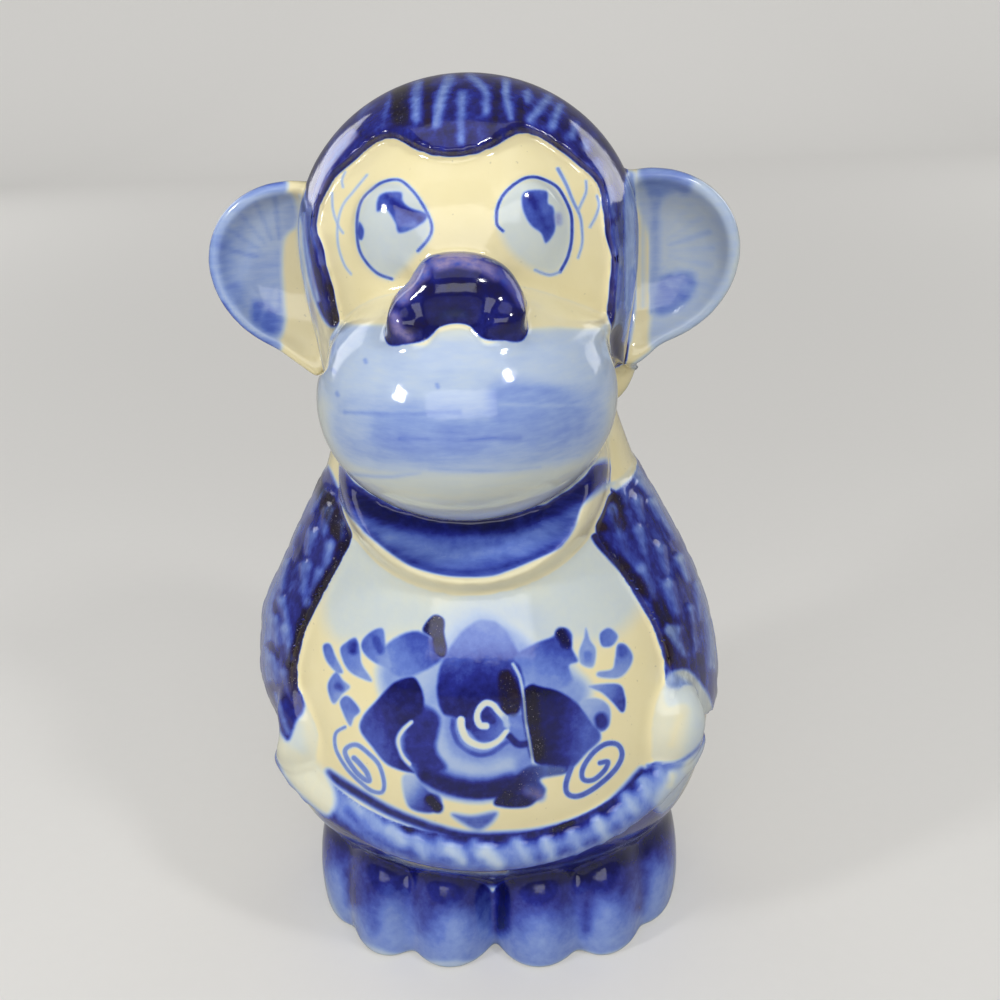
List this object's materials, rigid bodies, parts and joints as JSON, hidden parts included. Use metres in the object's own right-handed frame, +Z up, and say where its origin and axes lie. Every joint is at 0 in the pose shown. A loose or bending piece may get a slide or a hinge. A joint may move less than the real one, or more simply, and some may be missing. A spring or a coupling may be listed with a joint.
{
  "type": "animal figurine",
  "caption": "Seated monkey figurine in hollow glazed ceramic, with round dished ears, a great smiling muzzle, a pear-shaped body and scalloped feet.",
  "frame": {"origin": "on the table, at the middle of the base", "axes": "+Z up through the crown, the face looks along -Y, the monkey's own left is +X"},
  "size_m": [0.0876, 0.0762, 0.15],
  "materials": {
    "cream_glaze": "clear gloss glaze over a cream body",
    "blue_wash_glaze": "clear gloss glaze over a thin blue wash",
    "cobalt_glaze": "clear gloss glaze over brushed cobalt"
  },
  "bodies": {
    "root": {"torso": "cream_glaze", "head": "cream_glaze", "muzzle": "blue_wash_glaze", "lower_jaw": "cream_glaze", "nose": "cobalt_glaze", "hair": "cobalt_glaze", "left_eye": "cream_glaze", "right_eye": "cream_glaze", "left_ear": "blue_wash_glaze", "right_ear": "blue_wash_glaze", "left_arm": "cobalt_glaze", "right_arm": "cobalt_glaze", "left_hand": "blue_wash_glaze", "right_hand": "blue_wash_glaze", "left_leg": "cobalt_glaze", "right_leg": "cobalt_glaze", "left_foot": "cobalt_glaze", "right_foot": "cobalt_glaze"}
  },
  "joints": []
}
